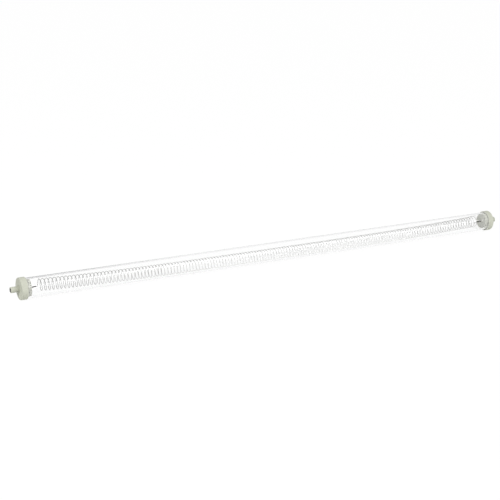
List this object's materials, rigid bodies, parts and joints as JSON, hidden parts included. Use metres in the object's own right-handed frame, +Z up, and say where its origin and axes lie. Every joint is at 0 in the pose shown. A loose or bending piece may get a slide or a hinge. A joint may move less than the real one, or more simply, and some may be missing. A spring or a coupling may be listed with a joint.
{
  "type": "quartz heating element",
  "caption": "Straight clear quartz tube with an open coil of resistance wire inside, closed at both ends by round ceramic caps with a thin spigot; radiant heater for small appliances.",
  "frame": {"origin": "middle of the tube's length, on its axis", "axes": "+X along the tube towards the right-hand cap, +Z up, so the coil sags towards -Z"},
  "size_m": [0.347, 0.0132, 0.0132],
  "materials": {
    "quartz_glass": "clear, fire polished",
    "resistance_wire": "drawn, bright",
    "cap_ceramic": "fired, unglazed, matt",
    "terminal_steel": "dark, oxidised"
  },
  "bodies": {
    "root": {"quartz_tube": "quartz_glass", "heating_coil": "resistance_wire", "left_end_cap": "cap_ceramic", "right_end_cap": "cap_ceramic", "left_terminal_pin": "terminal_steel", "right_terminal_pin": "terminal_steel"}
  },
  "joints": []
}
